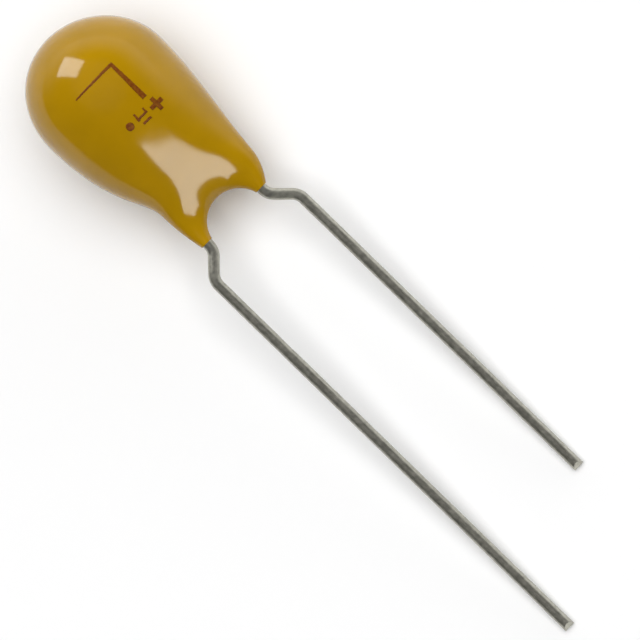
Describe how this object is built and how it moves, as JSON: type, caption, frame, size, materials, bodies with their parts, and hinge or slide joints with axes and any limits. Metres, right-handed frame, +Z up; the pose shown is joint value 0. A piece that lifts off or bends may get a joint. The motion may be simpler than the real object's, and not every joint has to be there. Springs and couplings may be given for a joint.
{
  "type": "tantalum capacitor",
  "caption": "Resin-dipped radial tantalum capacitor: a drop-shaped body over a sintered slug, with kinked wire leads for through-hole mounting and a polarity mark.",
  "frame": {"origin": "middle of the footprint, on the ground that the part lies on", "axes": "+Z up from the ground, towards the printed face; +Y along the body from the lead tips to the crown; +X across, from the negative lead to the positive lead"},
  "size_m": [0.0066, 0.0326, 0.0065],
  "materials": {
    "resin": "gloss",
    "tinned_wire": "satin",
    "sintered_tantalum": "matte",
    "tantalum_wire": "satin",
    "ptfe": "matte",
    "manganese_dioxide": "matte",
    "graphite": "matte",
    "silver_paint": "satin",
    "solder": "satin"
  },
  "bodies": {
    "root": {"resin_coat": "resin", "tantalum_slug": "sintered_tantalum", "riser_wire": "tantalum_wire", "insulating_washer": "ptfe", "manganese_dioxide_layer": "manganese_dioxide", "graphite_layer": "graphite", "silver_layer": "silver_paint", "solder_joint": "solder", "positive_lead": "tinned_wire", "negative_lead": "tinned_wire"}
  },
  "joints": []
}
